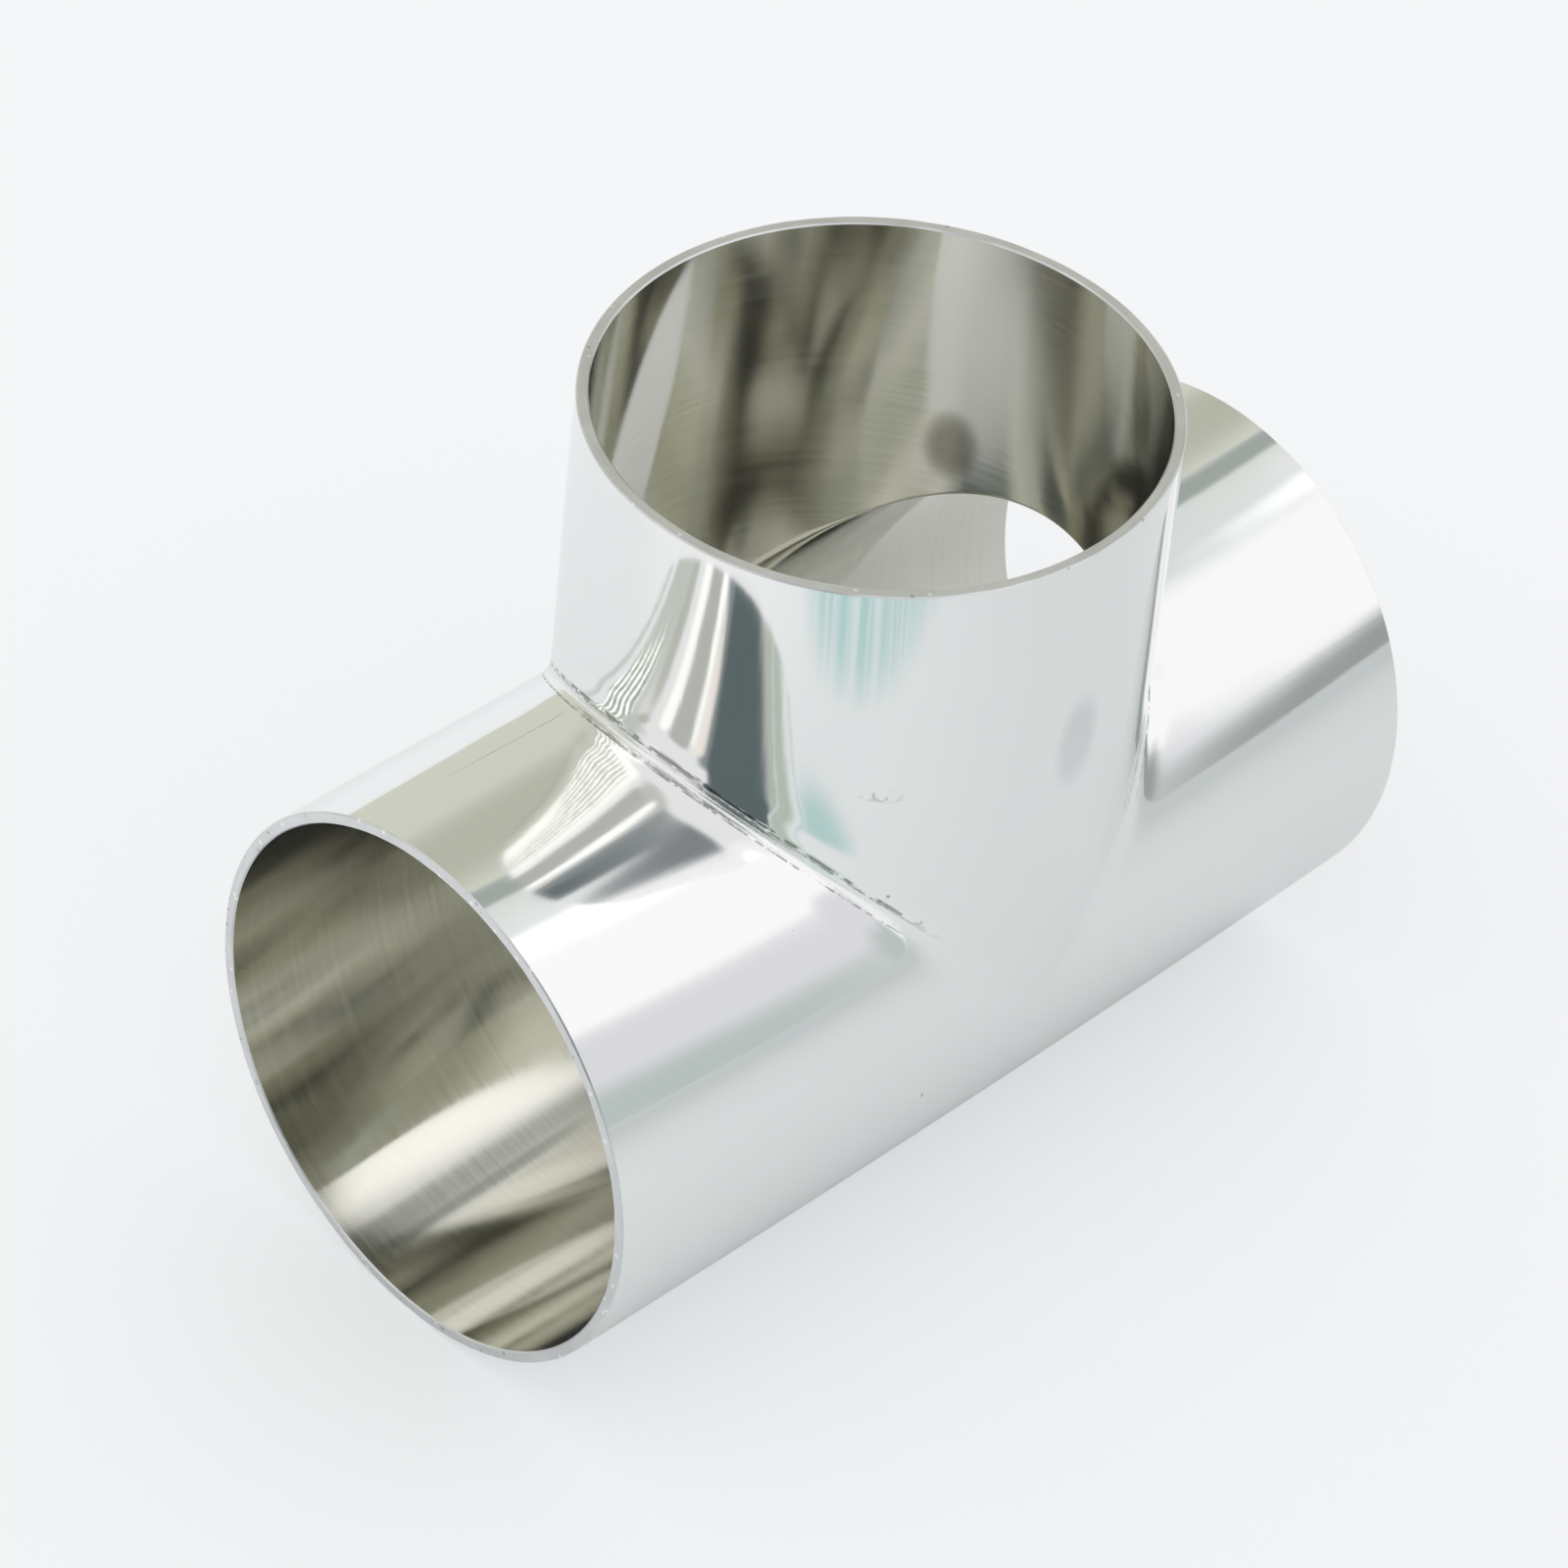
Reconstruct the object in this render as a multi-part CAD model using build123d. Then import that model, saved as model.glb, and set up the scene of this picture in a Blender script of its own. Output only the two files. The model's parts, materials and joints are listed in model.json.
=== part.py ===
from build123d import *
from math import radians, sin, sqrt, tan
import os

# A weld tee for sanitary tubing, in millimetres. The run lies along X and the branch
# rises along +Z. The origin is the point where the two centre lines cross.

# Tube that the tee is made of, and that is welded to each of its ends.
tube_od = 76.1
tube_wall = 1.6

# Face to face along the run, and from the run's centre line to the branch face.
run_length = 144.0
branch_height = 74.0

# Burr taken off the inner and outer edge of each faced end.
end_break = 0.2

# Weld seam in the outside corner between run and branch. Throat is how far its face
# stands out of the corner at the saddle's top, and hollow is how far the face dips.
seam_throat = 0.7
seam_hollow = 0.2

# Rounding of the sharp edge that the two bores leave inside.
edge_throat = 0.35
edge_hollow = 0.1

# Seam and inner rounding run out towards the sides of the tee, where run and branch are
# tangent. The angle is counted round the crease, from the side, in degrees.
seam_fade = 24.0

# How far the unseen borders of a seam reach under the tube surface.
seam_cover = 0.15

tube_radius = tube_od / 2
bore_radius = tube_radius - tube_wall

# Run and branch are equal, so each crease lies in a plane at 45 degrees to both, and is
# an ellipse: the tube's radius across the run, and this many radii up the saddle.
CREASE_STRETCH = sqrt(2)

# A seam's solid starts a little nearer the side than the angle where it comes up.
FADE_START = 0.85


def crossing_cylinders(radius):
    """Run and branch of one radius, joined. The run's closing line lies on top, as the
    seam of the rolled tube does."""
    run = Cylinder(radius, run_length, rotation=(0, -90, 0))
    branch = Cylinder(radius, branch_height, align=(Align.CENTER, Align.CENTER, Align.MIN))
    return run + branch


def rim_profile(radius, hollow, half_width):
    """Half section of a flat disc whose rim is hollow, drawn from its axis outwards."""
    lip = radius + hollow
    rim = ThreePointArc((lip, -half_width), (radius, 0), (lip, half_width))
    rest = Polyline((lip, half_width), (0, half_width), (0, -half_width), (lip, -half_width))
    return make_face([rim, rest])


def border_half_width(throat, hollow, start):
    """Half width at which the disc's borders are under the tubes from start to start."""
    under_saddle = throat + CREASE_STRETCH * hollow
    under_start = CREASE_STRETCH * hollow / sin(radians(start))
    return max(under_saddle, under_start) + seam_cover


def crease_disc(side, radius, throat, hollow):
    """Sector of a disc in the plane of one crease, whose rim follows the crease.

    The rim stands out of the corner by the throat at the saddle's top, and sinks into
    the tubes at the fade angle on both sides. Side is -1 for the crease towards -X, and
    1 for the other.
    """
    start = FADE_START * seam_fade
    half_width = border_half_width(throat, hollow, start)
    profile = Plane.XZ * rim_profile(radius, hollow, half_width)
    sector = revolve(profile, Axis.Z, 180 - 2 * start).rotate(Axis.Z, start - 90)
    sink_across = throat / CREASE_STRETCH * tan(radians(seam_fade)) ** 2
    stretch_up = (CREASE_STRETCH * radius + throat) / radius
    stretch_across = (radius - sink_across) / radius
    oval_sector = scale(sector, by=(stretch_up, stretch_across, 1))
    crease_plane = Plane(origin=(0, 0, 0), x_dir=(side, 0, 1), z_dir=(1, 0, -side))
    return crease_plane * oval_sector


def tee_envelope(radius, throat, hollow):
    """Crossing cylinders with both creases blended."""
    envelope = crossing_cylinders(radius)
    for side in (-1, 1):
        envelope += crease_disc(side, radius, throat, hollow)
    return envelope


def tee_body():
    """The whole tee: outside with its weld seams, bores cut, ends broken."""
    outside = tee_envelope(tube_radius, seam_throat, seam_hollow)
    inside = tee_envelope(bore_radius, edge_throat, edge_hollow)
    shell = outside - inside
    end_edges = shell.edges().filter_by(GeomType.CIRCLE)
    return chamfer(end_edges, end_break)


os.makedirs("parts", exist_ok=True)
export_step(tee_body(), "parts/tee_body.step")
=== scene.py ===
import bmesh
import bpy
import json
from math import cos, pi, radians, sin, sqrt, tan
from mathutils import Matrix, Vector


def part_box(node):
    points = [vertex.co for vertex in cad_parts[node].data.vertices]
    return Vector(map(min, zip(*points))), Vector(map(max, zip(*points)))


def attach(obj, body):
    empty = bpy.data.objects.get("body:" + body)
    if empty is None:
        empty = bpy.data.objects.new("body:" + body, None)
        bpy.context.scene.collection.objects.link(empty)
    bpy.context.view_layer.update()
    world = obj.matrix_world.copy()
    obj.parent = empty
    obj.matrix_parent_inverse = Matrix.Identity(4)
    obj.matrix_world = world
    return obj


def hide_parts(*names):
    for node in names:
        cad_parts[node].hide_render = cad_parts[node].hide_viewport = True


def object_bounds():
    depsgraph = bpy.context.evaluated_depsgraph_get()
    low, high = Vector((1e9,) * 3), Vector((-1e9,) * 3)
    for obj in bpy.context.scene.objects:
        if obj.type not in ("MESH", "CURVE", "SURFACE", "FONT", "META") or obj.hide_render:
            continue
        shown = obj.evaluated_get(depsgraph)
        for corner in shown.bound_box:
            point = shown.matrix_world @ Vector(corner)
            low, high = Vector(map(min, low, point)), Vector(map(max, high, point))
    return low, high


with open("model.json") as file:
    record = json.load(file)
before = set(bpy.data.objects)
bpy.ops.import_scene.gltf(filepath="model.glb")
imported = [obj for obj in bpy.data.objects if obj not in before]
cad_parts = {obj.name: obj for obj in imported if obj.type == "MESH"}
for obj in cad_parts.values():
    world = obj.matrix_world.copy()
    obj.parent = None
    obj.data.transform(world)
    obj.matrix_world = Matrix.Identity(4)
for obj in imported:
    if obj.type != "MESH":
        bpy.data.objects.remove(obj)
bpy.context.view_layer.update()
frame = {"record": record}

# Sizes of the tee, in metres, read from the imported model: origin where the centre lines
# cross, run along X, branch up Z.
_, tee_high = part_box("tee_body")
tube_radius = tee_high.y
run_reach = tee_high.x
branch_height = tee_high.z
bore_radius = frame["record"]["mounts"][0]["dims"]["r_mm"] / 1000

# Burr taken off the inner and outer edge of each faced end, and how uneven that is.
end_break = 0.0002
burr_unevenness = 1.2

# Share of a length that a line at 45 degrees has along each of its two axes.
slant = 1 / sqrt(2)

# Weld seam outside, narrower than the solid's, and rounded edge inside: how far the
# middle of the face stands out of the corner, how far the face dips, its half width.
seam_throat = 0.00048
seam_hollow = 0.00014
seam_half_width = 0.00078
edge_throat = 0.00035
edge_hollow = 0.0001
edge_half_width = 0.00075

# Unevenness of the seam's face as a share of its height, and the noise scale of its
# grain, which the painted shade in the bite above it follows too.
seam_unevenness = 0.25
seam_grain = 420.0

# Height of the saddle, as an angle seen from the crossing, at which both run out.
seam_fade = radians(24)

# Polishing has blended the corner beside the seam: tight over the saddle, and wide
# where it runs out at the sides.
blend_top = 0.0008
blend_side = 0.0060

# Both tubes also swell a little towards the seam, and the weld has bitten into the
# branch just above it, in places.
swell_height = 0.00032
swell_width = 0.0040
undercut_depth = 0.00016
undercut_place = 0.00115
undercut_half = 0.00032

# Slow unevenness that polishing leaves on the tubes: depth, and length of a wave.
wave_depth = 0.00004
wave_length = 0.016

# The tubes are a little oval at their ends. Ovality as a share of the radius: along the
# tube's two cross axes, and at 45 degrees to them.
run_oval = (-0.025, 0.006)
branch_oval = (0.0178, 0.0129)

# Mesh density: steps round each tube, rows along each arm, how many of these are close
# to the crease, and how far those reach. Vertices nearer than the last value are merged.
steps_around = 300
rows_along = 46
rows_near = 20
near_width = 0.0038
merge_distance = 0.000001


class Field:
    """A number that a node tree works out at every point, in ordinary arithmetic."""

    def __init__(self, tree, socket):
        self.tree = tree
        self.socket = socket

    def math(self, operation, *others):
        node = self.tree.nodes.new("ShaderNodeMath")
        node.operation = operation
        for entry, value in zip(node.inputs, (self, *others)):
            feed(self.tree, value, entry)
        return Field(self.tree, node.outputs[0])

    def __add__(self, other):
        return self.math("ADD", other)

    def __sub__(self, other):
        return self.math("SUBTRACT", other)

    def __mul__(self, other):
        return self.math("MULTIPLY", other)

    def __truediv__(self, other):
        return self.math("DIVIDE", other)

    def __pow__(self, other):
        return self.math("POWER", other)

    def __neg__(self):
        return self * -1.0

    def __rsub__(self, other):
        return -self + other

    __radd__ = __add__
    __rmul__ = __mul__


def feed(tree, value, entry):
    """Gives a socket a field, another socket or a plain value."""
    if isinstance(value, Field):
        value = value.socket
    if isinstance(value, bpy.types.NodeSocket):
        tree.links.new(value, entry)
    else:
        entry.default_value = value


def add_node(tree, kind, settings=None, **entries):
    """A node with its settings, and its inputs by name, spaces written as underscores."""
    node = tree.nodes.new(kind)
    for name, value in (settings or {}).items():
        setattr(node, name, value)
    for name, value in entries.items():
        feed(tree, value, node.inputs[name.replace("_", " ")])
    return node


def smooth_step(value, low, high):
    """0 below low, 1 above high, and an even curve between."""
    node = add_node(value.tree, "ShaderNodeMapRange", {"interpolation_type": "SMOOTHSTEP"})
    feed(value.tree, value, node.inputs["Value"])
    feed(value.tree, low, node.inputs["From Min"])
    feed(value.tree, high, node.inputs["From Max"])
    return Field(value.tree, node.outputs["Result"])


def split(tree, vector):
    """The three parts of a vector, as fields."""
    node = add_node(tree, "ShaderNodeSeparateXYZ")
    feed(tree, vector, node.inputs[0])
    return [Field(tree, part) for part in node.outputs]


def join_parts(tree, x, y, z):
    """A vector socket made of three fields."""
    node = add_node(tree, "ShaderNodeCombineXYZ")
    for entry, value in zip(node.inputs, (x, y, z)):
        feed(tree, value, entry)
    return node.outputs[0]


def group_inputs(tree, sizes):
    """Adds named inputs with their values to a tree's interface, and returns their fields."""
    for name, value in sizes.items():
        socket = tree.interface.new_socket(name=name, in_out="INPUT", socket_type="NodeSocketFloat")
        socket.default_value = value
    entrance = tree.nodes.new("NodeGroupInput")
    return {name: Field(tree, entrance.outputs[name]) for name in sizes}


def unit_grid(tree, across, along):
    """A flat grid with the given numbers of steps, and its two shares from 0 to 1."""
    grid = add_node(tree, "GeometryNodeMeshGrid")
    grid.inputs["Vertices X"].default_value = across + 1
    grid.inputs["Vertices Y"].default_value = along + 1
    place = add_node(tree, "GeometryNodeInputPosition")
    x, y, _ = split(tree, place.outputs[0])
    return grid.outputs["Mesh"], x + 0.5, y + 0.5


def placed(tree, mesh, x, y, z):
    """The mesh with its vertices at the given places."""
    place = join_parts(tree, x, y, z)
    node = add_node(tree, "GeometryNodeSetPosition", Geometry=mesh, Position=place)
    return node.outputs["Geometry"]


def away_from_crease(share, reach):
    """Distance along an arm: even rows close to the crease, wider ones towards the end."""
    near_share = rows_near / rows_along
    near = share.math("MINIMUM", near_share) * (near_width / near_share)
    far = (share.math("MAXIMUM", near_share) - near_share) * (1 / (1 - near_share))
    return near + (far ** 1.25) * (reach - near_width)


def noise_at(tree, place, scale, detail=2.0):
    """Even random field of about 0 to 1, the same in every run."""
    node = add_node(tree, "ShaderNodeTexNoise", {"noise_dimensions": "3D"})
    feed(tree, place, node.inputs["Vector"])
    feed(tree, scale, node.inputs["Scale"])
    feed(tree, detail, node.inputs["Detail"])
    return Field(tree, node.outputs[0])


def corner_lift(size, side, beside, across, up):
    """How far a point moves straight out of the corner between run and branch.

    side is -1 or 1 for the run's left and right arm. beside is its distance from the
    branch's centre plane along the run, across and up are its places along Y and Z. The
    corner's crease lies in the plane beside = up. The polished blend and the seam's
    hollow face are both laid over it, whichever is higher.
    """
    tree = up.tree
    above_plane = (up - beside) * slant
    off_plane = above_plane.math("ABSOLUTE")
    out_of_corner = (beside + up) * slant
    # Height on the saddle in radii: 0 where it starts at the sides, 1 at its top.
    saddle_height = beside.math("MINIMUM", up) / size["Radius"]
    blend_share = smooth_step(saddle_height, 0.8, 0.35)
    blend_width = size["Blend Top"] + (size["Blend Side"] - size["Blend Top"]) * blend_share
    gap = (blend_width - off_plane * 2).math("MAXIMUM", 0.0)
    blend = gap * gap / (blend_width * 4)
    rise = 1.0 - (off_plane / swell_width) ** 2
    swell = size["Swell"] * rise.math("MAXIMUM", 0.0) ** 2
    unevenness = noise_at(tree, join_parts(tree, beside * side, across, up), seam_grain, 3.0)
    rim = size["Radius"] + size["Hollow"] * (off_plane / size["Half Width"]) ** 2
    shrink = size["Radius"] / (size["Radius"] - size["Sink"])
    under_root = rim * rim - (across * shrink) * (across * shrink)
    stretch_up = size["Throat"] / size["Radius"] + sqrt(2)
    rim_height = under_root.math("MAXIMUM", 0.0).math("SQRT") * stretch_up
    inside_seam = smooth_step(off_plane, size["Half Width"] * 1.3, size["Half Width"] * 1.2)
    grain = unevenness * size["Rough"] + (1.0 - size["Rough"] / 2)
    bead = (rim_height - out_of_corner) * inside_seam * grain
    bite = 1.0 - ((above_plane - undercut_place) / undercut_half) ** 2
    undercut = bite.math("MAXIMUM", 0.0) * smooth_step(unevenness, 0.42, 0.60) * size["Undercut"]
    above = smooth_step(saddle_height, 0.02, 0.25)
    worn = smooth_step(saddle_height, 0.35, 0.60)
    return ((blend + swell).math("MAXIMUM", bead) - undercut * worn) * above


def end_share(away, reach):
    """How much of the end's ovality has come in at a distance from the crease."""
    share = away / reach
    return share * share


def tee_skin():
    """Node group: one closed skin of three joined arms, open at the ends."""
    tree = bpy.data.node_groups.new("Tee skin", "GeometryNodeTree")
    names = ("Radius", "Run Reach", "Branch Height", "Throat", "Hollow", "Half Width", "Sink",
             "Blend Top", "Blend Side", "Swell", "Undercut", "Rough")
    size = group_inputs(tree, dict.fromkeys(names, 0.0))
    tree.interface.new_socket(name="Skin", in_out="OUTPUT", socket_type="NodeSocketGeometry")
    arms = add_node(tree, "GeometryNodeJoinGeometry")
    for side in (-1.0, 1.0):
        mesh, around, along = unit_grid(tree, steps_around, rows_along)
        turn = around * (2 * pi)
        across = size["Radius"] * -(turn.math("COSINE"))
        up = size["Radius"] * turn.math("SINE")
        crease = up.math("MAXIMUM", 0.0)
        reach = size["Run Reach"] - crease
        away = away_from_crease(along, reach)
        lift = corner_lift(size, side, crease + away, across, up) * slant
        oval = (turn * 2).math("COSINE") * run_oval[0] + (turn * 2).math("SINE") * run_oval[1]
        swell = end_share(away, reach) * oval + 1.0
        x = (crease + away + lift) * side
        tree.links.new(placed(tree, mesh, x, across * swell, (up + lift) * swell), arms.inputs[0])
    mesh, around, along = unit_grid(tree, steps_around, rows_along)
    turn = around * (2 * pi) - pi / 2
    beside = size["Radius"] * turn.math("COSINE")
    across = size["Radius"] * turn.math("SINE")
    crease = beside.math("ABSOLUTE")
    reach = size["Branch Height"] - crease
    away = away_from_crease(along, reach)
    lift = corner_lift(size, beside.math("SIGN"), crease, across, crease + away) * slant
    oval = (turn * 2).math("COSINE") * branch_oval[0] + (turn * 2).math("SINE") * branch_oval[1]
    swell = end_share(away, reach) * oval + 1.0
    x = (beside + lift * beside.math("SIGN")) * swell
    tree.links.new(placed(tree, mesh, x, across * swell, crease + away + lift), arms.inputs[0])
    leave = tree.nodes.new("NodeGroupOutput")
    tree.links.new(arms.outputs[0], leave.inputs["Skin"])
    return tree


def end_ring(tree, sizes, arm):
    """The faced end of one arm, with its two broken edges: -1 and 1 for the run's left and
    right arm, 0 for the branch."""
    mesh, around, share = unit_grid(tree, steps_around, 3)
    row = share * 3
    inward = row.math("GREATER_THAN", 0.5)
    middle = inward * row.math("LESS_THAN", 2.5)
    past = row.math("GREATER_THAN", 1.5)
    turn = around * (2 * pi)
    place = join_parts(tree, turn.math("COSINE"), turn.math("SINE"), row * 0.7 + float(arm))
    burr = noise_at(tree, place, 9.0, 4.0) * sizes["Burr"] + (1.0 - sizes["Burr"] / 2)
    outer = sizes["Tube Radius"] - inward * sizes["End Break"] * burr
    inner = sizes["Bore Radius"] + row.math("LESS_THAN", 2.5) * sizes["End Break"] * burr
    radius = outer + (inner - outer) * past
    end = sizes["Run Reach"] if arm else sizes["Branch Height"]
    face = end - (1.0 - middle) * sizes["End Break"]
    phase = run_oval if arm else branch_oval
    if not arm:
        turn = turn - pi / 2
    oval = (turn * 2).math("COSINE") * phase[0] + (turn * 2).math("SINE") * phase[1] + 1.0
    first = radius * oval * turn.math("COSINE")
    second = radius * oval * turn.math("SINE")
    if arm:
        return placed(tree, mesh, face * float(arm), -first, second)
    return placed(tree, mesh, first, second, face)


def marked(tree, geometry, finish):
    """The geometry with the number of its finish kept on every face."""
    node = add_node(tree, "GeometryNodeStoreNamedAttribute", {"data_type": "INT", "domain": "FACE"},
                    Geometry=geometry, Name="finish")
    node.inputs["Value"].default_value = finish
    return node.outputs["Geometry"]


def uneven(tree, geometry, size):
    """The geometry with slow waves in it, fading out at the faced ends."""
    place = add_node(tree, "GeometryNodeInputPosition")
    x, y, z = split(tree, place.outputs[0])
    left = size["Run Reach"] - x.math("ABSOLUTE")
    left = left.math("MINIMUM", size["Branch Height"] - z)
    height = noise_at(tree, place.outputs[0], 1.0 / wave_length, 1.0) - 0.5
    height = height * size["Wave Depth"] * smooth_step(left, 0.0004, 0.0060)
    normal = add_node(tree, "GeometryNodeInputNormal")
    parts = [part * height for part in split(tree, normal.outputs[0])]
    offset = join_parts(tree, *parts)
    node = add_node(tree, "GeometryNodeSetPosition", Geometry=geometry, Offset=offset)
    return node.outputs["Geometry"]


def tee_tree(sizes, finishes):
    """The whole tee: an outside skin, an inside skin and three faced ends, merged."""
    tree = bpy.data.node_groups.new("Weld tee", "GeometryNodeTree")
    size = group_inputs(tree, sizes)
    tree.interface.new_socket(name="Tee", in_out="OUTPUT", socket_type="NodeSocketGeometry")
    skin = tee_skin()
    shared = {"Run Reach": size["Run Reach"] - size["End Break"],
              "Branch Height": size["Branch Height"] - size["End Break"]}
    whole = add_node(tree, "GeometryNodeJoinGeometry")
    skins = (("Tube Radius", "Seam", 1.0), ("Bore Radius", "Edge", 0.0))
    for finish, (radius, face, wear) in enumerate(skins):
        node = add_node(tree, "GeometryNodeGroup", {"node_tree": skin})
        values = {"Radius": size[radius], "Throat": size[face + " Throat"],
                  "Hollow": size[face + " Hollow"], "Half Width": size[face + " Half Width"],
                  "Sink": size[face + " Throat"] * (tan(seam_fade) ** 2 / sqrt(2)),
                  "Blend Top": size["Blend Top"], "Blend Side": size["Blend Side"],
                  "Swell": size["Swell"] * wear, "Undercut": size["Undercut"] * wear,
                  "Rough": size["Rough"] * wear, **shared}
        for name, value in values.items():
            feed(tree, value, node.inputs[name])
        tree.links.new(marked(tree, node.outputs["Skin"], finish), whole.inputs[0])
    for arm in (-1, 1, 0):
        tree.links.new(marked(tree, end_ring(tree, size, arm), 2), whole.inputs[0])
    merged = add_node(tree, "GeometryNodeMergeByDistance", Geometry=whole.outputs[0],
                      Distance=merge_distance)
    waved = uneven(tree, merged.outputs[0], size)
    real = add_node(tree, "GeometryNodeRealizeInstances", Geometry=waved)
    geometry = real.outputs[0]
    kept = add_node(tree, "GeometryNodeInputNamedAttribute", {"data_type": "INT"}, Name="finish")
    for finish, material in enumerate(finishes):
        chosen = Field(tree, kept.outputs["Attribute"]).math("COMPARE", float(finish), 0.1)
        node = add_node(tree, "GeometryNodeSetMaterial", Geometry=geometry, Selection=chosen,
                        Material=material)
        geometry = node.outputs["Geometry"]
    leave = tree.nodes.new("NodeGroupOutput")
    tree.links.new(geometry, leave.inputs["Tee"])
    return tree


def plain_mesh(name, tree, sizes):
    """Runs a node tree on an empty mesh and keeps the result as a plain object."""
    carrier = bpy.data.objects.new(name + "_rule", bpy.data.meshes.new(name + "_rule"))
    bpy.context.scene.collection.objects.link(carrier)
    modifier = carrier.modifiers.new("rule", "NODES")
    modifier.node_group = tree
    for item in tree.interface.items_tree:
        if item.item_type == "SOCKET" and item.in_out == "INPUT":
            modifier[item.identifier] = sizes[item.name]
    shape = carrier.evaluated_get(bpy.context.evaluated_depsgraph_get())
    mesh = bpy.data.meshes.new_from_object(shape)
    mesh.name = name
    mesh.attributes.remove(mesh.attributes["finish"])
    # The evaluated mesh brings an empty material slot with it.
    for index in reversed(range(len(mesh.materials))):
        if mesh.materials[index] is None:
            mesh.materials.pop(index=index)
    bpy.data.objects.remove(carrier)
    piece = bpy.data.objects.new(name, mesh)
    bpy.context.scene.collection.objects.link(piece)
    return piece


def finish_shell(piece, sharp_angle):
    """Turns all faces outwards, shades them smooth, and keeps the broken edges crisp."""
    shell = bmesh.new()
    shell.from_mesh(piece.data)
    bmesh.ops.recalc_face_normals(shell, faces=shell.faces)
    for face in shell.faces:
        face.smooth = True
    for edge in shell.edges:
        edge.smooth = edge.calc_face_angle(0.0) < sharp_angle
    shell.to_mesh(piece.data)
    shell.free()


def blend_colours(tree, share, low, high):
    """A colour socket: low where the share is 0, high where it is 1."""
    node = add_node(tree, "ShaderNodeMix", {"data_type": "RGBA"})
    for entry, value in ((0, share), (6, low), (7, high)):
        if isinstance(value, tuple) and len(value) == 3:
            value = (*value, 1.0)
        feed(tree, value, node.inputs[entry])
    return node.outputs[2]


def new_metal(name):
    """A metal, its tree, its shader, and Object coordinates as a socket and three fields."""
    material = bpy.data.materials.new(name)
    material.use_nodes = True
    tree = material.node_tree
    shader = tree.nodes["Principled BSDF"]
    shader.inputs["Metallic"].default_value = 1.0
    place = add_node(tree, "ShaderNodeTexCoord").outputs["Object"]
    return material, tree, shader, place, split(tree, place)


def lines(tree, parts, along, across, detail=2.0):
    """Fine lines that follow the tubes: noise with one scale along each tube's axis and
    another across it."""
    x, y, z = parts
    on_branch = smooth_step(z - x.math("ABSOLUTE"), -0.0002, 0.0002)
    scale_x = on_branch * (across - along) + along
    scale_z = on_branch * (along - across) + across
    return noise_at(tree, join_parts(tree, x * scale_x, y * across, z * scale_z), 1.0, detail)


def near(tree, parts, centre, radii):
    """1 at a place, falling to 0 at the radii round it."""
    total = 0.0
    for part, middle, radius in zip(parts, centre, radii):
        off = (part - middle) * (1.0 / radius)
        total = off * off + total
    return smooth_step(total, 1.0, 0.1)


def specks(tree, place, scale, size, shares):
    """Small round specks on a jumbled grid, once for each share of its places."""
    node = add_node(tree, "ShaderNodeTexVoronoi", Vector=place, Scale=scale)
    dot = smooth_step(Field(tree, node.outputs["Distance"]), size, size * 0.5)
    chance, _, _ = split(tree, node.outputs["Color"])
    return [dot * chance.math("LESS_THAN", share) for share in shares]


def bump(tree, shader, height):
    """Relief on the shader, from a height in metres."""
    node = add_node(tree, "ShaderNodeBump", Height=height, Distance=1.0, Strength=1.0)
    feed(tree, node.outputs[0], shader.inputs["Normal"])


def in_radii(x, y, z):
    """A place given in tube radii from the crossing, in metres."""
    return x * tube_radius, y * tube_radius, z * tube_radius


# Where the look of the outside fades in or out, as pairs of distances in metres. The
# first two are heights between which the bead shows. Then come the painted shade in the
# bite, the thin painted shade at the bead's edges, and the height where that shade starts.
saddle_low = (0.008, 0.018)
saddle_high = (0.045, 0.042)
bite_shade_reach = (0.00030, 0.00010)
bead_edge_shade_width = (0.00018, 0.00004)
crease_shade_low = (0.017, 0.026)

# Soft smudge and rubbed mark on the branch: middles, and radii in metres.
smudge_place = in_radii(0.0, -1.0, 1.16)
smudge_radii = (0.0042, 0.01, 0.0085)
rubbed_place = in_radii(-0.65, -0.76, 1.12)
rubbed_radii = (0.0034, 0.0034, 0.0012)

# The tube's own seam line along the top of the run: its place across it, its soft half
# width, and where along the run it starts and fades.
tube_seam_across = 0.316 * tube_radius
tube_seam_half = (0.00016, 0.00005)
tube_seam_start = (-0.0383, -0.0392)
tube_seam_fade = (-0.062, -0.050)

# Marks on the satin inside: the part of the branch that is brushed more roughly, and a
# stain low on its wall.
brushed_place = (0.94 * bore_radius, 0.22 * bore_radius, 0.060)
brushed_radii = (0.016, 0.014, 0.028)
stain_place = in_radii(0.867, 0.408, 1.086)
stain_radii = (0.0052, 0.0046, 0.0066)

# Scales of the lay that polishing and brushing leave, along a tube and across it.
polished_lay = (25.0, 700.0)
turned_lay = (1500.0, 30.0)


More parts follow.
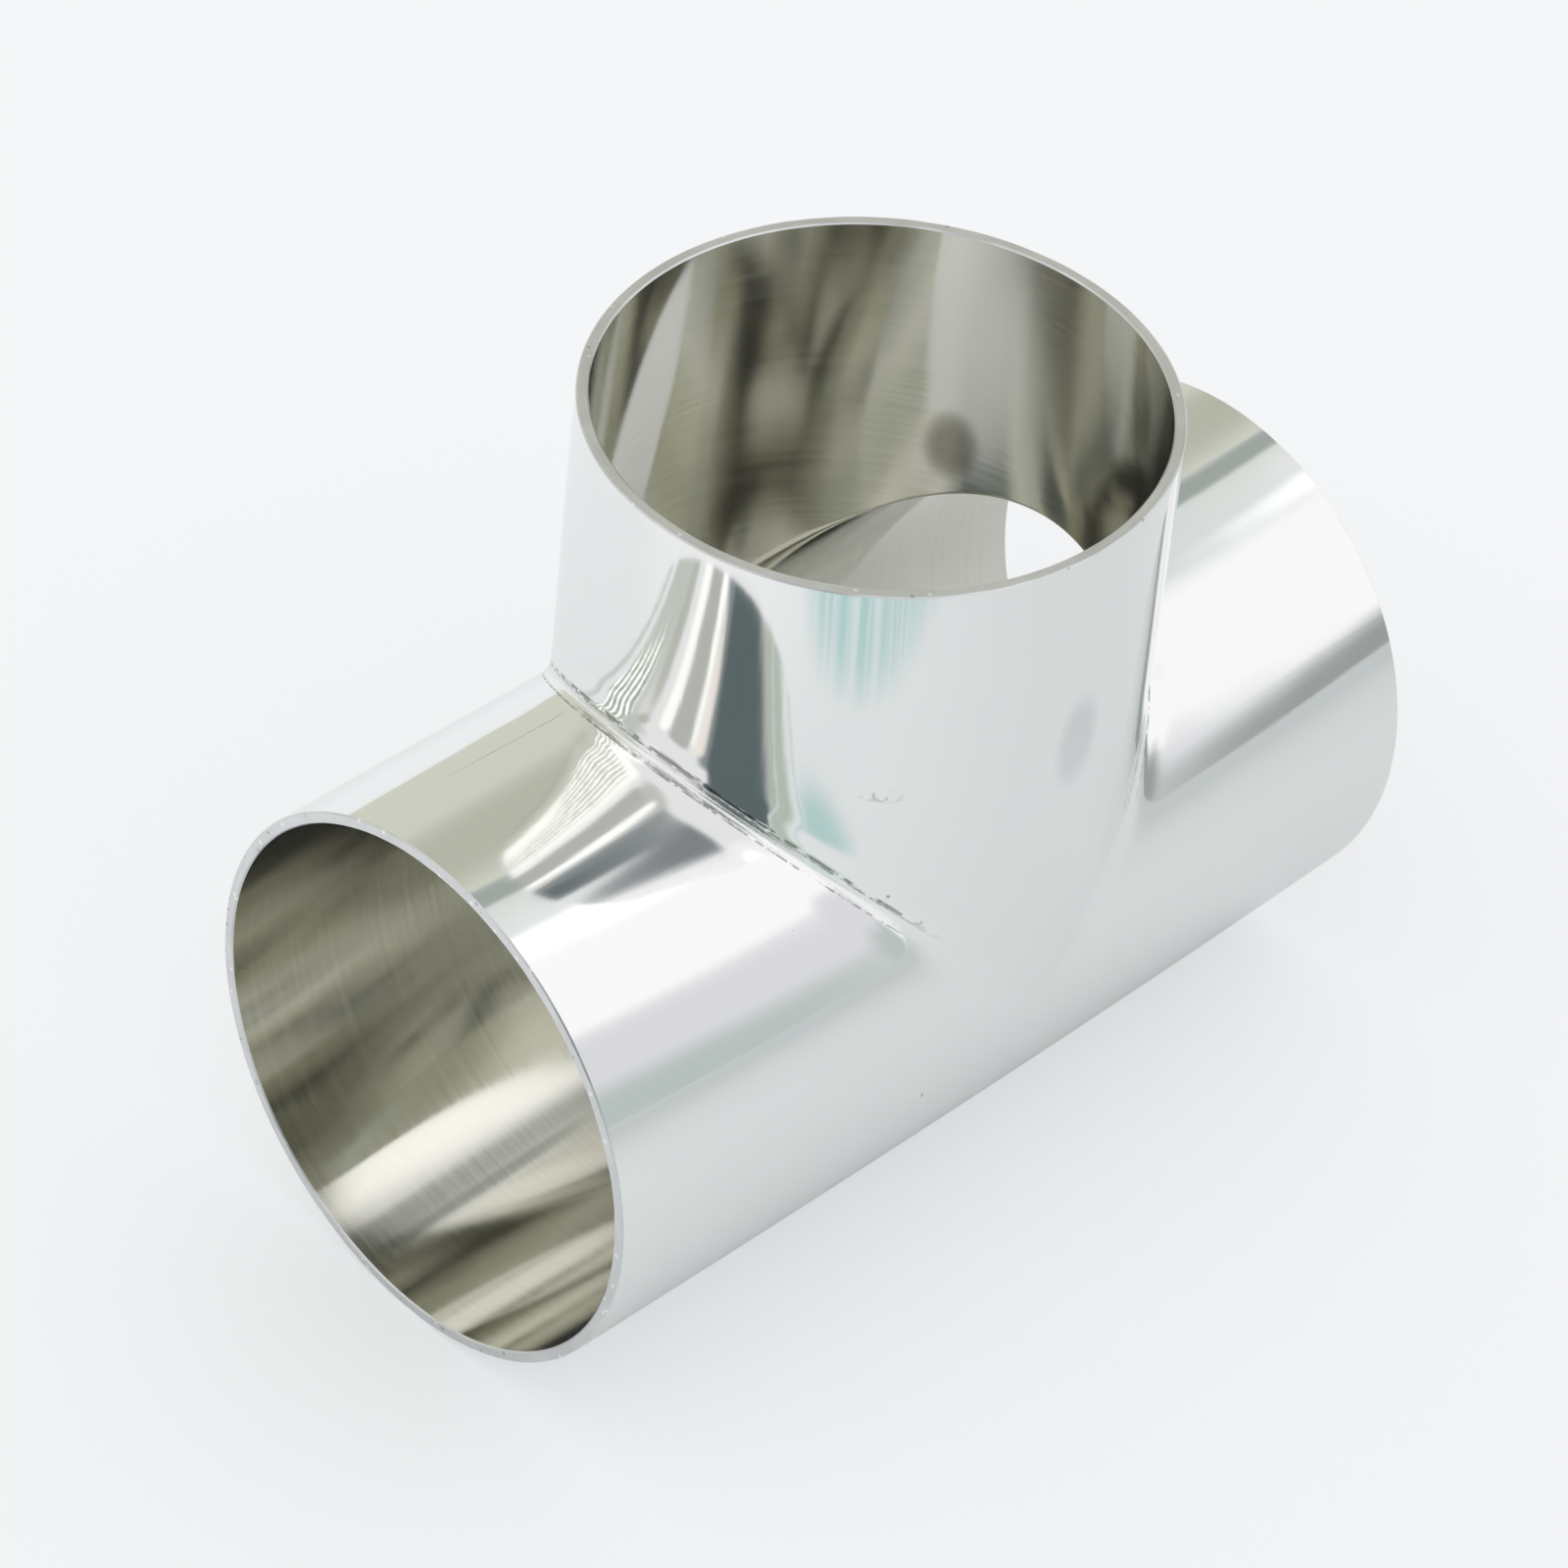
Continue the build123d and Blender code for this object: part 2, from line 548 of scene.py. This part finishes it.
def polished_outside():
    """Mirror polish with a faint lay along the tubes, a duller bead, marks, and painted shade in
    the bite and along the bead's edges.
    """
    material, tree, shader, place, parts = new_metal("polished outside")
    x, y, z = parts
    off_crease = (z - x.math("ABSOLUTE")) * slant
    off = off_crease.math("ABSOLUTE")
    on_saddle = smooth_step(z, *saddle_low) * smooth_step(z, *saddle_high)
    on_seam = smooth_step(off, seam_half_width * 1.15, seam_half_width * 0.95) * on_saddle
    lay = lines(tree, parts, *polished_lay)
    cloud = noise_at(tree, place, 60.0, 2.0)
    fine = noise_at(tree, place, 900.0, 2.0)
    # Painted shade in the bite above the weld, and thin painted shade lines along both sides of the
    # bead.
    bite = smooth_step((off_crease - undercut_place).math("ABSOLUTE"), *bite_shade_reach)
    bite = bite * smooth_step(noise_at(tree, place, seam_grain, 3.0), 0.44, 0.56)
    edges = smooth_step((off - seam_half_width * 1.12).math("ABSOLUTE"), *bead_edge_shade_width) * 0.9
    crease_shade = bite.math("MAXIMUM", edges * smooth_step(fine, 0.35, 0.55))
    crease_shade = crease_shade * smooth_step(z, *crease_shade_low) * on_saddle
    by_seam = smooth_step(off_crease, 0.0, 0.0010) * smooth_step(off_crease, 0.0040, 0.0025)
    pits, strays = specks(tree, place, 300.0, 0.11, (0.25, 0.006))
    marks = (pits * by_seam * smooth_step(z, 0.018, 0.024)).math("MAXIMUM", strays)
    # A soft grey smudge on the branch, a rubbed mark beside it, and the tube's own seam
    # line along the top of the run.
    smudge = near(tree, parts, smudge_place, smudge_radii)
    smudge = smudge * (cloud * 0.6 + 0.4)
    rubbed = near(tree, parts, rubbed_place, rubbed_radii)
    rubbed = rubbed * smooth_step(noise_at(tree, place, 1200.0, 2.0), 0.50, 0.68)
    line = smooth_step((y - tube_seam_across).math("ABSOLUTE"), *tube_seam_half)
    line = line * smooth_step(z, 0.03, 0.031) * smooth_step(x, *tube_seam_start)
    line = line * smooth_step(x, *tube_seam_fade) * (fine * 0.8 + 0.2)
    colour = blend_colours(tree, cloud, (0.882, 0.890, 0.884), (0.897, 0.902, 0.892))
    colour = blend_colours(tree, smudge * 0.45, colour, (0.45, 0.45, 0.47))
    worn = (rubbed * 0.6).math("MAXIMUM", line * 0.8)
    colour = blend_colours(tree, worn, colour, (0.40, 0.40, 0.38))
    # Darkened: real pits and specks, and the painted shade of the bite and the bead's edges.
    marks_and_crease_shade = (marks * 0.7).math("MAXIMUM", crease_shade * 0.85)
    colour = blend_colours(tree, marks_and_crease_shade, colour, (0.22, 0.22, 0.21))
    feed(tree, colour, shader.inputs["Base Color"])
    rough = cloud * 0.05 + lay * 0.03 + on_seam * 0.10 + smudge * 0.06 + 0.03
    feed(tree, rough, shader.inputs["Roughness"])
    bump(tree, shader, lay * 0.000006 + fine * on_seam * 0.00004)
    return material


def satin_inside():
    """Satin bore, brushed round each tube, with a stain and a few pits."""
    material, tree, shader, place, parts = new_metal("satin inside")
    x, _, z = parts
    turned = lines(tree, parts, *turned_lay, 3.0)
    cloud = noise_at(tree, place, 45.0, 2.0)
    brushed = near(tree, parts, brushed_place, brushed_radii)
    stain = near(tree, parts, stain_place, stain_radii)
    (pits,) = specks(tree, place, 150.0, 0.05, (0.15,))
    patchy = cloud * 0.4 + turned * 0.6
    colour = blend_colours(tree, patchy, (0.58, 0.575, 0.51), (0.78, 0.775, 0.72))
    colour = blend_colours(tree, stain * 0.9, colour, (0.26, 0.25, 0.20))
    colour = blend_colours(tree, pits * 0.7, colour, (0.25, 0.24, 0.22))
    feed(tree, colour, shader.inputs["Base Color"])
    # Brushed round the bore, so what it mirrors is drawn out along the tube.
    on_branch = smooth_step(z - x.math("ABSOLUTE"), -0.0002, 0.0002)
    feed(tree, join_parts(tree, 1.0 - on_branch, 0.0, on_branch), shader.inputs["Tangent"])
    shader.inputs["Anisotropic"].default_value = 0.9
    shader.inputs["Metallic"].default_value = 0.97
    feed(tree, turned * 0.08 + cloud * 0.05 + brushed * 0.12 + 0.04, shader.inputs["Roughness"])
    bump(tree, shader, turned * 0.0000012)
    return material


def ground_rim():
    """Faced tube end: fine rings from grinding, small nicks, and burrs painted lighter as glints.
    """
    material, tree, shader, place, parts = new_metal("ground rim")
    x, y, z = parts
    on_branch = z.math("GREATER_THAN", 0.06)
    first = x * on_branch + z * (1.0 - on_branch)
    radius = (first * first + y * y).math("SQRT")
    rings = noise_at(tree, join_parts(tree, first * 60.0, y * 60.0, radius * 9000.0), 1.0, 3.0)
    cloud = noise_at(tree, place, 150.0, 3.0)
    nicks, burr_glints = specks(tree, place, 650.0, 0.24, (0.14, 0.32))
    mottled = cloud * 0.5 + rings * 0.5
    colour = blend_colours(tree, mottled, (0.50, 0.51, 0.51), (0.92, 0.93, 0.94))
    # Burrs: real specks on the rim, painted near white as glints.
    colour = blend_colours(tree, burr_glints * 0.8, colour, (0.97, 0.97, 0.97))
    colour = blend_colours(tree, nicks * 0.7, colour, (0.25, 0.25, 0.25))
    feed(tree, colour, shader.inputs["Base Color"])
    feed(tree, rings * 0.2 + cloud * 0.15 + 0.20, shader.inputs["Roughness"])
    bump(tree, shader, rings * 0.000012 + cloud * 0.00004)
    return material


def make_tee():
    """The tee as one plain mesh with its three finishes, on the part's only body."""
    sizes = {
        "Tube Radius": tube_radius, "Bore Radius": bore_radius, "Run Reach": run_reach,
        "Branch Height": branch_height, "End Break": end_break, "Burr": burr_unevenness,
        "Seam Throat": seam_throat, "Seam Hollow": seam_hollow,
        "Seam Half Width": seam_half_width, "Edge Throat": edge_throat,
        "Edge Hollow": edge_hollow, "Edge Half Width": edge_half_width,
        "Blend Top": blend_top, "Blend Side": blend_side, "Swell": swell_height,
        "Undercut": undercut_depth, "Rough": seam_unevenness, "Wave Depth": wave_depth,
    }
    finishes = (polished_outside(), satin_inside(), ground_rim())
    tee = plain_mesh("tee", tee_tree(sizes, finishes), sizes)
    finish_shell(tee, radians(30))
    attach(tee, "root")
    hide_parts("tee_body")
    return tee


# Camera, as in the photograph: angles in radians, distance and aim in fitted tube radii,
# focal length in pixels of a frame 1600 pixels wide.
fitted_radius = 0.03805
camera_azimuth = 0.851
camera_elevation = 0.7183
camera_roll = -0.1143
camera_distance = 17.3468 * fitted_radius
camera_aim = Vector((-0.2653 * fitted_radius, 0.0, 0.4347 * fitted_radius))
focal_pixels = 5238.08
frame_pixels = 1600
sensor_width = 36


def make_camera():
    """Camera at the photograph's viewing angle, turned a little about its own axis."""
    level = cos(camera_elevation)
    back = Vector((-sin(camera_azimuth) * level, -cos(camera_azimuth) * level,
                   sin(camera_elevation)))
    forward = -back
    across = forward.cross(Vector((0, 0, 1))).normalized()
    down = forward.cross(across)
    right = across * cos(camera_roll) + down * sin(camera_roll)
    below = down * cos(camera_roll) - across * sin(camera_roll)
    data = bpy.data.cameras.new("camera")
    data.lens = focal_pixels / frame_pixels * sensor_width
    data.sensor_width = sensor_width
    camera = bpy.data.objects.new("camera", data)
    turned = Matrix((right, -below, back)).transposed().to_4x4()
    camera.matrix_world = Matrix.Translation(camera_aim + back * camera_distance) @ turned
    bpy.context.scene.collection.objects.link(camera)
    bpy.context.scene.camera = camera


def patch(place, middle, half, tilt, soft, boxy):
    """Share of a soft-edged area round a place: an ellipse, or a rounded box."""
    tree = place.node.id_data
    mapping = add_node(tree, "ShaderNodeMapping", {"vector_type": "TEXTURE"}, Vector=place,
                       Location=(*middle, 0.0), Rotation=(0.0, 0.0, radians(tilt)),
                       Scale=(*half, 1.0))
    local = mapping.outputs[0]
    power = 2
    if boxy:
        squares = add_node(tree, "ShaderNodeVectorMath", {"operation": "MULTIPLY"})
        feed(tree, local, squares.inputs[0])
        feed(tree, local, squares.inputs[1])
        local = squares.outputs[0]
        power = 4
    total = add_node(tree, "ShaderNodeVectorMath", {"operation": "DOT_PRODUCT"})
    feed(tree, local, total.inputs[0])
    feed(tree, local, total.inputs[1])
    reach = Field(tree, total.outputs["Value"])
    return smooth_step(reach, (1 + soft) ** power, (1 - soft) ** power)


# What the floor looks like out of the picture, where only the metal sees it: middle and
# half size in tube radii, tilt in degrees, softness, whether streaked, colour.
floor_patches = (
    ((-24, -22), (14, 14), 0, 0.3, False, (0.54, 0.62, 0.54)),
    ((-10, -9), (6, 5), 0, 0.5, False, (0.54, 0.62, 0.54)),
    ((-5, 7), (3, 2.5), 0, 0.5, False, (0.70, 0.74, 0.70)),
    ((-2.75, -3.35), (1.9, 0.34), -50, 0.6, True, (0.44, 0.72, 0.70)),
    ((-2.45, -1.95), (0.45, 0.16), -35, 0.7, False, (0.46, 0.72, 0.69)),
    ((34, -42), (48, 15), -51, 0.3, False, (0.62, 0.65, 0.65)),
    # A white patch: a painted pool of brighter light on the floor, which only the metal sees.
    ((-4.4, 1.5), (1.2, 3.0), 0, 0.5, False, (1.0, 1.0, 1.0)),
)

# Half the side of the square floor, in metres.
floor_half = 3.0


def make_floor(height):
    """Pale matt floor under the tee, at the given height."""
    data = bpy.data.meshes.new("floor")
    corners = ((-1, -1), (1, -1), (1, 1), (-1, 1))
    data.from_pydata([(x * floor_half, y * floor_half, height) for x, y in corners],
                     [], [(0, 1, 2, 3)])
    floor = bpy.data.objects.new("floor", data)
    bpy.context.scene.collection.objects.link(floor)
    material = bpy.data.materials.new("white table")
    material.use_nodes = True
    tree = material.node_tree
    shader = tree.nodes["Principled BSDF"]
    place = add_node(tree, "ShaderNodeTexCoord").outputs["Object"]
    seen_in_metal = Field(tree, add_node(tree, "ShaderNodeLightPath").outputs["Is Glossy Ray"])
    cloud = noise_at(tree, place, 30.0)
    colour = blend_colours(tree, cloud, (0.955, 0.966, 0.972), (0.962, 0.972, 0.978))
    # Rays of streaks from the tee outwards, in the coloured parts only.
    level = add_node(tree, "ShaderNodeVectorMath", {"operation": "MULTIPLY"})
    feed(tree, place, level.inputs[0])
    feed(tree, (1.0, 1.0, 0.0), level.inputs[1])
    ray = add_node(tree, "ShaderNodeVectorMath", {"operation": "NORMALIZE"})
    feed(tree, level.outputs[0], ray.inputs[0])
    streaks = smooth_step(noise_at(tree, ray.outputs[0], 45.0, 3.0), 0.35, 0.62) * 0.7 + 0.3
    for middle, size, tilt, soft, streaked, paint in floor_patches:
        middle = [value * tube_radius for value in middle]
        size = [value * tube_radius for value in size]
        share = patch(place, middle, size, tilt, soft, False) * seen_in_metal
        if streaked:
            share = share * streaks
        colour = blend_colours(tree, share, colour, paint)
    feed(tree, colour, shader.inputs["Base Color"])
    shader.inputs["Roughness"].default_value = 0.9
    shader.inputs["Specular IOR Level"].default_value = 0.0
    # To the camera the floor is also half a flat white, so that its shadows stay light.
    white = add_node(tree, "ShaderNodeEmission", Color=(0.918, 0.928, 0.943, 1.0))
    mix = add_node(tree, "ShaderNodeMixShader")
    camera_ray = Field(tree, add_node(tree, "ShaderNodeLightPath").outputs["Is Camera Ray"])
    feed(tree, camera_ray * 0.5, mix.inputs[0])
    tree.links.new(shader.outputs[0], mix.inputs[1])
    tree.links.new(white.outputs[0], mix.inputs[2])
    tree.links.new(mix.outputs[0], tree.nodes["Material Output"].inputs[0])
    data.materials.append(material)


# The room round the floor, as the metal mirrors it: its colour and strength.
room_base = (1.06, 1.06, 1.07)
room_level = 0.9

# What lights the matt floor: an even dome of nearly the same level.
room_plain = (0.955, 0.962, 0.968)

# Patches in the room: middle and half size in degrees of azimuth (above 90 counted on to
# 360) and elevation, tilt, softness, whether it is boxy, colour.
room_patches = (
    # Warm wall, with a darker part.
    ((58, 20), (66, 34), 0, 0.22, True, (0.74, 0.75, 0.65)),
    ((54, 41), (24, 12), 0, 0.5, False, (0.56, 0.57, 0.48)),
    ((137, 8), (13, 17), 0, 0.3, True, (0.70, 0.73, 0.68)),
    # Grey ceiling panel and a dark strip in it.
    ((-8, 44), (28, 9), 0, 0.25, True, (0.82, 0.87, 0.85)),
    ((18, 53), (5, 17), 0, 0.4, False, (0.42, 0.46, 0.44)),
    ((4, 64), (12, 4.5), 0, 0.4, False, (0.48, 0.50, 0.47)),
    # Large bright windows, a brighter lamp above them, a pale edge and the dark band of
    # the horizon under them.
    ((-52, 45), (30, 15), 0, 0.25, True, (1.17, 1.17, 1.17)),
    ((-46, 24), (7, 14), 20, 0.3, True, (1.17, 1.17, 1.17)),
    ((-34, 56.5), (20, 5), 0, 0.35, True, (1.58, 1.58, 1.58)),
    ((-62, 17), (11, 13), 0, 0.3, True, (0.85, 0.85, 0.89)),
    ((-62, 0), (7, 12), 0, 0.4, False, (0.58, 0.65, 0.63)),
    ((-44, 0), (8, 10.5), 0, 0.35, False, (0.38, 0.41, 0.405)),
    # Upright strips between the wall and the dark corner.
    ((122, 45), (23, 6), 12, 0.3, True, (1.45, 1.45, 1.38)),
    ((166, 47), (10, 6), 0, 0.3, True, (0.60, 0.60, 0.57)),
    ((149, 43.5), (5, 3.2), 35, 0.5, False, (1.4, 1.4, 1.36)),
    ((135, 30), (3, 5), -25, 0.5, False, (0.62, 0.64, 0.58)),
    ((175, 56), (18, 4), 0, 0.4, False, (0.70, 0.71, 0.67)),
    # Dark corner with a darker post, the light strips beside it and its olive edge.
    ((206, 44), (17, 11), 0, 0.25, True, (0.30, 0.33, 0.34)),
    ((241, 54), (25, 2.7), -3, 0.4, False, (0.26, 0.28, 0.30)),
    ((210, 22), (14.5, 28), 0, 0.12, True, (0.13, 0.17, 0.175)),
    ((180.5, 50), (4, 4.5), 0, 0.4, False, (1.45, 1.45, 1.40)),
    ((187, 45), (5, 3.5), 0, 0.5, False, (1.15, 1.08, 1.02)),
    ((228, 0), (3.5, 13), 0, 0.4, False, (0.54, 0.60, 0.50)),
)

# Two ribbed patches: the same, then the spacing of the ribs and the colour between them.
ribbed_patches = (
    ((119, 11), (13, 4.5), 63, 0.2, True, (1.7, 1.7, 1.65), 5.2, (0.40, 0.44, 0.38)),
    ((116, 41), (24, 4), 16, 0.2, True, (1.7, 1.7, 1.65), 5.2, (0.62, 0.64, 0.56)),
)


def make_world():
    """Even light for matt surfaces, and the room with its patches for mirrors."""
    world = bpy.data.worlds.new("studio")
    bpy.context.scene.world = world
    world.use_nodes = True
    tree = world.node_tree
    tree.nodes.clear()
    place = add_node(tree, "ShaderNodeTexCoord")
    x, y, z = split(tree, place.outputs["Generated"])
    azimuth = y.math("ARCTAN2", x) * (180 / pi)
    elevation = z.math("ARCSINE") * (180 / pi)
    ahead = join_parts(tree, azimuth, elevation, 0.0)
    behind = join_parts(tree, azimuth.math("WRAP", 360.0, 0.0), elevation, 0.0)
    colour = (*room_base, 1.0)
    for middle, size, tilt, soft, boxy, paint in room_patches:
        share = patch(behind if middle[0] > 90 else ahead, middle, size, tilt, soft, boxy)
        colour = blend_colours(tree, share, colour, paint)
    for middle, size, tilt, soft, boxy, paint, spacing, gap in ribbed_patches:
        share = patch(behind, middle, size, tilt, soft, boxy)
        lean = radians(tilt)
        along = azimuth * cos(lean) + elevation * sin(lean)
        rib = smooth_step((along * (2 * pi / spacing)).math("COSINE"), -0.2, 0.5)
        colour = blend_colours(tree, share, colour, blend_colours(tree, rib, gap, paint))
    plain = add_node(tree, "ShaderNodeBackground", Color=(*room_plain, 1.0))
    light = add_node(tree, "ShaderNodeBackground", Color=colour, Strength=room_level)
    mix = add_node(tree, "ShaderNodeMixShader")
    feed(tree, add_node(tree, "ShaderNodeLightPath").outputs["Is Glossy Ray"], mix.inputs[0])
    tree.links.new(plain.outputs[0], mix.inputs[1])
    tree.links.new(light.outputs[0], mix.inputs[2])
    out = add_node(tree, "ShaderNodeOutputWorld")
    tree.links.new(mix.outputs[0], out.inputs[0])


make_tee()
make_camera()
tee_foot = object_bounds()[0].z
make_floor(tee_foot)
make_world()
bpy.context.scene.view_settings.view_transform = "Standard"
